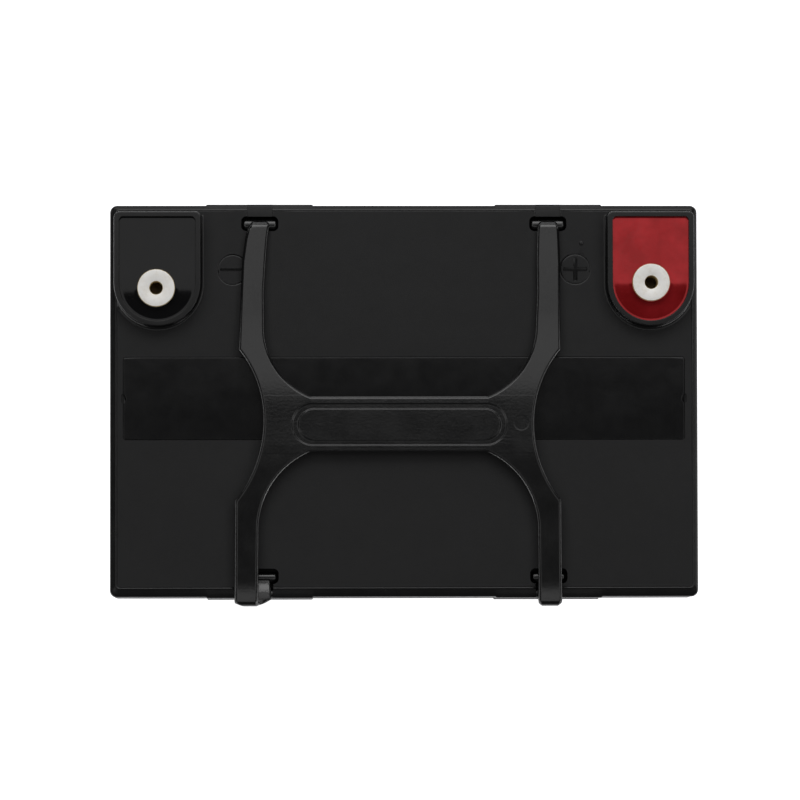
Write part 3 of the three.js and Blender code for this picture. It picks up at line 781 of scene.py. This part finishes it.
def handle_path():
    """The moulding's middle line at rest as (v, Y, Z): v runs along the sheet and equals Y over the grip."""
    upright = np.linspace(REAR_BAR[1], REAR_BEND["z"], 20)
    points = [np.array((REAR_BAR[0], z)) for z in upright]
    slope = math.atan2(HINGE_Z - REAR_AIM[1], REAR_AIM[0] - REAR_Y)
    r = REAR_BEND["r"]
    centre = np.array((REAR_BAR[0] - r, REAR_BEND["z"]))
    for a in np.linspace(0, math.pi / 2 + slope, 14)[1:]:
        points.append(centre + r * np.array((math.cos(a), math.sin(a))))
    bend_end = points[-1]
    rear_slope = (HINGE_Z - bend_end[1]) / (bend_end[0] - REAR_Y)
    for y in np.linspace(bend_end[0], LOOP["y"], 240)[1:]:
        fall = rear_slope * soft_ramp(y - REAR_Y, 4.0)
        fall += DROOP * (max(0.0, DROOP_Y - y) / (DROOP_Y - LOOP["y"])) ** 2
        points.append(np.array((y, HINGE_Z - fall)))
    first, last = LOOP_START, math.radians(LOOP["end"])
    centre = (LOOP["y"] + LOOP["r"] * math.sin(first), LOOP["z"] - LOOP["r"] * math.cos(first))
    for a in np.linspace(first, last, 60)[1:]:
        points.append(np.array((centre[0] - LOOP["r"] * math.sin(a), centre[1] + LOOP["r"] * math.cos(a))))
    start, end = points[-1], np.array(FRONT_BAR)
    leaving = start + RETURN["pull"] * np.array((-math.cos(last), -math.sin(last)))
    handles = (start, leaving, end + np.array(RETURN["arrival"]), end)
    for t in np.linspace(0, 1, 40)[1:]:
        weights = ((1 - t) ** 3, 3 * t * (1 - t) ** 2, 3 * t ** 2 * (1 - t), t ** 3)
        points.append(sum(w * h for w, h in zip(weights, handles)))
    points = np.array(points)
    length = np.concatenate([[0], np.cumsum(np.linalg.norm(np.diff(points, axis=0), axis=1))])
    at_grip = length[np.argmin(np.abs(points[:, 0] - REAR_Y) + np.abs(points[:, 1] - HINGE_Z))]
    v = REAR_Y + at_grip - length
    return v, points


PATH_V, PATH_POINTS = handle_path()
V_REAR, V_FRONT = PATH_V[0], PATH_V[-1]
V_LOOP = PATH_V[np.argmin(np.abs(PATH_POINTS[:, 0] - LOOP["y"]) + np.abs(PATH_POINTS[:, 1] - LOOP["z"]))]
ARC = LOOP["r"] * (math.radians(LOOP["end"]) - LOOP_START)     # the loop's length along the sheet
THIRD = ARC / 3


def bend_sheet(flat):
    """Places (x, v, h) points of the flat moulding along its path."""
    v, h = flat[:, 1], flat[:, 2]
    order = PATH_V[::-1]
    tangent = np.gradient(PATH_POINTS, axis=0)
    tangent /= np.linalg.norm(tangent, axis=1)[:, None]
    y, z = (np.interp(v, order, PATH_POINTS[::-1, k]) for k in (0, 1))
    ty, tz = (np.interp(v, order, tangent[::-1, k]) for k in (0, 1))
    size = np.hypot(ty, tz)
    return np.column_stack([flat[:, 0], y + h * tz / size, z - h * ty / size])


def middle_line(v):
    """The moulding lies a little askew: its middle in X drifts from the rear bars to the slack loops."""
    return np.interp(v, (-60, -18, 5, 36), (-2.1, -2.05, -1.7, -1.25))


def waist(v):
    """Half the moulding's width at its waist, which is two arcs that meet beside the grip."""
    half = 44.85
    if v > -7:
        r, away = 37.5, v + 6.8
    else:
        r, away = 41.0, v + 7.2
    return half + r - math.sqrt(r ** 2 - away ** 2)


def strap_sides(line):
    """Both sides of a strap from (v, middle, half width) along it: out on one side, back on the other."""
    return [(u + half, v) for v, u, half in line] + [(u - half, v) for v, u, half in reversed(line)]


def handle_outline():
    """The H-shaped moulding laid flat, counter-clockwise, in (x, v)."""
    rear_strap, front_strap, half = 49.1, 50.25, 3.92
    right, left = [], []
    for side, placed in ((1, right), (-1, left)):
        rear_u = POCKET["x"] - side * middle_line(V_REAR)
        front_u = POCKET["x"] - side * middle_line(V_FRONT)
        edge = [(waist(v), v) for v in np.linspace(-33.0, 16.9, 40)]
        drifts = [(36.0, 0.04, 3.85), (46.0, 0.24, 3.95), (53.6, 0.55, 3.72), (57.3, 0.82, 3.55),
                  (V_REAR - 4.4, 1.0, 3.45), (V_REAR - 3.6, 1.0, 3.2), (V_REAR, 1.0, 3.15)]
        rear_line = [(v, rear_strap + (rear_u - rear_strap) * drift, wide) for v, drift, wide in drifts]
        rear_arch = arc(19.9, 24.6, 25.0, 0, -68.2, 22)
        front_arch = arc(18.1, -42.8, 28.0, 67.3, 3, 22)
        front_line = [(V_LOOP, front_strap, half), (V_LOOP - 0.2 * ARC, 50.2, half - 0.05),
                      (V_LOOP - 0.45 * ARC, 0.8 * front_strap + 0.2 * front_u, half - 0.45),
                      (V_LOOP - 1.05 * ARC, front_u, 3.6), (V_FRONT, front_u, 3.6)]
        front = [(u - wide, v) for v, u, wide in front_line]
        front += [(u + wide, v) for v, u, wide in reversed(front_line)]
        for part in (edge + strap_sides(rear_line) + rear_arch, front_arch + front):
            placed.append([(middle_line(v) + side * u, v) for u, v in part])
    return densify(right[0] + left[0][::-1] + left[1][::-1] + right[1], 1.2)


def stadium(length, width, inset=0.0):
    r = width / 2 - inset
    reach = length / 2 - width / 2
    right = arc(MIDDLE + reach, CHANNEL_V, r, -90, 90, 24)
    return right + arc(MIDDLE - reach, CHANNEL_V, r, 90, 270, 24)


def stadium_depth(x, v, length, width):
    """Distance inside a stadium's edge; negative outside it."""
    reach = length / 2 - width / 2
    return width / 2 - np.hypot(np.maximum(np.abs(x - MIDDLE) - reach, 0), v - CHANNEL_V)


def handle_half(v):
    """Half the moulding's thickness along it: thick at the grip, easing off to the straps."""
    edge, easing = 0.012, 28     # the small step at the grip's ends, and how far the easing reaches
    past = np.where(v > REAR_Y, v - REAR_Y, np.where(v < FRONT_Y, FRONT_Y - v, 0))
    step = edge * smoothstep(past / 0.3)
    return GRIP / 2 - step - (GRIP / 2 - STRAP / 2 - edge) * smoothstep((past - 0.3) / easing)


def handle_top(x, v, away):
    half = handle_half(v)
    height = half - np.interp(away, *zip(*TOP_EDGE))
    rearward = smoothstep((v - CHANNEL_V + 3) / 6)
    wall, pad_wall = STEEP + (GENTLE - STEEP) * rearward, GENTLE + (STEEP - GENTLE) * rearward
    groove = np.clip(stadium_depth(x, v, *GROOVE) / wall, 0, 1)
    pad = np.clip((stadium_depth(x, v, *PAD) + pad_wall) / pad_wall, 0, 1)
    height = height - CHANNEL_DEPTH * groove * (1 - pad)
    ejector = EJECTOR["r"] - np.hypot(x - MIDDLE - EJECTOR["off"], v - EJECTOR["v"])
    return height - 0.03 * smoothstep((ejector + 0.1) / 0.2)


def handle_bottom(x, v, away):
    return -rounded_edge(away, handle_half(v), ROUND)


def t_bar(x, centre, r):
    """The vertices and faces of a T-bar with rounded ends."""
    half, rounding, segments = 5.85, 1.2, 28
    quarter = np.radians(range(0, 91, 15))
    bend = [(rounding * (1 - math.cos(a)), rounding * (1 - math.sin(a))) for a in quarter]
    end = [(half - short, r - thin) for short, thin in bend]
    profile = [(-u, rr) for u, rr in end] + end[::-1]
    verts = [(x + u, centre[0] + rr * math.cos(a), centre[1] + rr * math.sin(a))
             for u, rr in profile for a in np.linspace(0, 2 * math.pi, segments, False)]
    return verts, tube_faces(len(profile), segments)


def handle_guides(outline, cuts):
    """Lines that the moulding's faces follow: its rim, the channel, the ejector mark and rows across it."""
    guides = [(offset(outline, d), True) for d in (0.04, 0.09, 0.18, 0.28, 0.5, 0.7, 0.8, 0.95, 1.03)]
    for inset in (-0.07, 0.0, 0.07, 0.2, 0.36, 0.43, 0.5, 0.65, 0.8, 0.87):
        guides.append((stadium(*GROOVE, inset), True))
        guides.append((stadium(*PAD, -inset), True))
    for r in (1.2, 2.25, 2.4, 2.5, 2.6, 2.75):
        guides.append((arc(MIDDLE + EJECTOR["off"], EJECTOR["v"], r, 0, 360, 32)[:-1], True))
    close = (-0.3, -0.15, 0.0, 0.15, 0.3, 0.5)
    rows = [REAR_Y + d for d in close] + [FRONT_Y - d for d in close]
    loop_end = V_LOOP - ARC
    stretches = ((REAR_Y + 1.2, REAR_Y + 29, 1.4), (FRONT_Y - 1.2, FRONT_Y - 29, -1.4), (-16.4, 1, 1.2),
                 (20, 50, 3), (V_REAR - 8, V_REAR, 0.35), (-40, -62, -4),
                 (V_LOOP + 1.4, loop_end - 1.2, -0.22), (loop_end - 1.5, V_FRONT + 0.3, -1.0))
    for stretch in stretches:
        rows += list(np.arange(*stretch))
    return guides + [([(MIDDLE - 75, v), (MIDDLE + 75, v)], False) for v in rows + cuts]


HANDLE_PIECES = (
    ("handle_rear", ("grip", "rear_straps"), ["handle_grip", "rear_strap_left", "rear_strap_right"]),
    ("handle_front", ("grip", "front_straps"), ["front_strap_left", "front_strap_right"]),
    ("slack_start", ("front_straps", "slack_1"), ["slack_loop_1_left", "slack_loop_1_right"]),
    ("slack_turn", ("slack_1", "slack_2"), ["slack_loop_2_left", "slack_loop_2_right"]),
    ("slack_under", ("slack_2", "slack_3"), ["slack_loop_3_left", "slack_loop_3_right"]),
    ("slack_end", ("slack_3", "front_bars"), ["front_tbar_left", "front_tbar_right"]),
)
STRAP_SPANS = ((-4.0, 7.0), (-12.0, -23.0))     # in Y, where the grip's bends to the straps start and end
BARS = {"handle_rear": (REAR_BAR, BAR_R["rear"]), "slack_end": (FRONT_BAR, BAR_R["front"])}


def make_handle():
    """The moulding, cut across into pieces along its length."""
    cuts = [-8.0, -48.0, V_LOOP - THIRD / 2, V_LOOP - 1.5 * THIRD, V_LOOP - 2.5 * THIRD]
    outline = handle_outline()
    flat, faces = plate([outline], handle_guides(outline, cuts), handle_top, handle_bottom)
    placed = bend_sheet(flat)
    middles = np.array([np.mean(flat[list(f)], axis=0) for f in faces])
    limits = [1e9] + cuts + [-1e9]
    for k, (name, bodies, nodes) in enumerate(HANDLE_PIECES):
        chosen = [f for f, m in zip(faces, middles) if limits[k + 1] < m[1] < limits[k]]
        used = sorted({i for f in chosen for i in f})
        index = {v: i for i, v in enumerate(used)}
        verts = [tuple(placed[i]) for i in used]
        polygons = [tuple(index[i] for i in f) for f in chosen]
        if name in BARS:
            for side in SIDES:
                bar_verts, bar_faces = t_bar(side * POCKET["x"], *BARS[name])
                first = len(verts)
                verts += bar_verts
                polygons += [tuple(first + i for i in f) for f in bar_faces]
        piece = make_object(name, verts, polygons, HANDLE, 50)
        if k < len(STRAP_SPANS):
            start, end = ((0, y * MM, HINGE_Z * MM) for y in STRAP_SPANS[k])
        else:
            start, end = hinge_span(V_LOOP - (k - 2) * THIRD)
        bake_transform(piece)
        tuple(start)
        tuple(end)
        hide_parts(*nodes)


def hinge_span(v):
    """Two points on the moulding's path, either side of the fold at v."""
    half = 0.75
    ends = bend_sheet(np.array([(0, v + half, 0), (0, v - half, 0)], float))
    return tuple(tuple(p * MM) for p in ends)


# ================================================================ inner pieces keep their CAD shape
def dress_inner_pieces():
    looks = {"negative_plates": NEGATIVE_PASTE, "positive_plates": POSITIVE_PASTE, "separator": GLASS_MAT,
             "cell_link": LEAD, "lead_post": LEAD, "relief_valve": RUBBER, "post_seal": RUBBER}
    for name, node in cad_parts.items():
        material = next((m for part, m in looks.items() if part in name), None)
        if material:
            for slot in node.material_slots:
                slot.material = material


# ================================================================ stage
def make_floor():
    """A pale floor that glows like a light table round the battery and fades out beyond it."""
    material, nodes, links, shader = new_material("floor")
    where = object_coordinates(nodes)
    shade = noise(nodes, links, where, 3.0)
    links.new(ramp(nodes, links, shade, [(0.3, gray(0.80)), (0.7, gray(0.82))]), shader.inputs["Base Color"])
    shader.inputs["Roughness"].default_value = 0.9
    shader.inputs["Emission Color"].default_value = (1, 1, 1, 1)
    away = nodes.new("ShaderNodeVectorMath")
    away.operation = "LENGTH"
    links.new(where, away.inputs[0])
    glow = map_range(nodes, links, away.outputs["Value"], 0.24, 0.6, 1.0, 0.3)
    links.new(glow, shader.inputs["Emission Strength"])
    size = 3000
    corners = [(-size, -size, 0), (size, -size, 0), (size, size, 0), (-size, size, 0)]
    floor = make_object("floor", corners, [(0, 1, 2, 3)], material)


def area_light(name, size, power):
    """A rectangular light, not yet placed, of a size in metres."""
    data = bpy.data.lights.new(name, "AREA")
    data.shape = "RECTANGLE"
    data.size, data.size_y = size
    data.energy = power
    light = bpy.data.objects.new(name, data)
    bpy.context.scene.collection.objects.link(light)
    return light


def softbox(name, low, high, brightness, turn=0.0):
    """A flat light facing down a metre over the lid, between two corners in mm, turned in degrees."""
    length, width = (high[0] - low[0]) * MM, (high[1] - low[1]) * MM
    light = area_light(name, (length, width), brightness * math.pi * length * width)
    light.location = ((low[0] + high[0]) / 2 * MM, (low[1] + high[1]) / 2 * MM, LID_TOP * MM + 1)
    light.rotation_euler = (0, 0, math.radians(turn))


def strip_light(name, place, size, power):
    """A long light beside the battery, aimed at the middle of its lid."""
    light = area_light(name, size, power)
    light.location = place
    light.rotation_euler = (Vector((0, 0, 0.15)) - Vector(place)).to_track_quat("-Z", "Y").to_euler()


def make_lights():
    """Soft boxes in a ring overhead. The level faces mirror the gap between them, so those stay dark."""
    world = bpy.data.worlds.new("studio")
    bpy.context.scene.world = world
    world.use_nodes = True
    background = world.node_tree.nodes["Background"]
    background.inputs["Color"].default_value = (1, 1, 1, 1)
    background.inputs["Strength"].default_value = 0.05
    softbox("rear_near_box", (-900, 99.5), (900, 550), 0.64, turn=0.8)
    softbox("rear_far_box", (-900, 560), (900, 1600), 2.2)
    softbox("front_box", (-900, -640), (900, -340), 0.62)
    softbox("left_box", (-1150, -450), (-380, 450), 0.62)
    softbox("right_box", (380, -450), (1150, 450), 0.8)
    strip_light("rear_strip", (0, 1.55, 0.64), (2.4, 0.5), 3.0)
    strip_light("left_strip", (-1.3, -0.1, 0.28), (1.6, 0.24), 1.4)
    strip_light("right_strip", (1.3, -0.1, 0.28), (1.6, 0.24), 1.4)
    strip_light("front_left_strip", (-1.0, -1.0, 0.28), (1.1, 0.24), 2.4)
    strip_light("front_right_strip", (1.0, -1.0, 0.28), (1.1, 0.24), 2.4)


def make_camera():
    """Almost straight above, a little in front and to the left, from 1.6 m."""
    distance, frame_width, roll, sensor = 1.6, 0.2651, -0.11, 36
    target = Vector((-1.4 * MM, 0.3 * MM, LID_TOP * MM))
    place = Vector((-0.039, -0.063, LID_TOP * MM + distance))
    data = bpy.data.cameras.new("camera")
    data.sensor_width = sensor
    data.lens = sensor * (place - target).length / frame_width
    camera = bpy.data.objects.new("camera", data)
    camera.location = place
    ahead = (target - place).normalized()
    right = ahead.cross(Vector((0, 1, 0))).normalized()
    aim = Matrix((right, right.cross(ahead), -ahead)).transposed().to_quaternion()
    camera.rotation_euler = (aim @ Quaternion((0, 0, 1), math.radians(roll))).to_euler()
    bpy.context.scene.collection.objects.link(camera)
    bpy.context.scene.camera = camera
    bpy.context.scene.view_settings.view_transform = "Standard"


make_camera()
make_lights()
make_floor()
make_container()
make_lid()
make_strip()
for pole_side in SIDES:
    make_terminal(pole_side)
    make_potting(pole_side)
make_handle()
dress_inner_pieces()
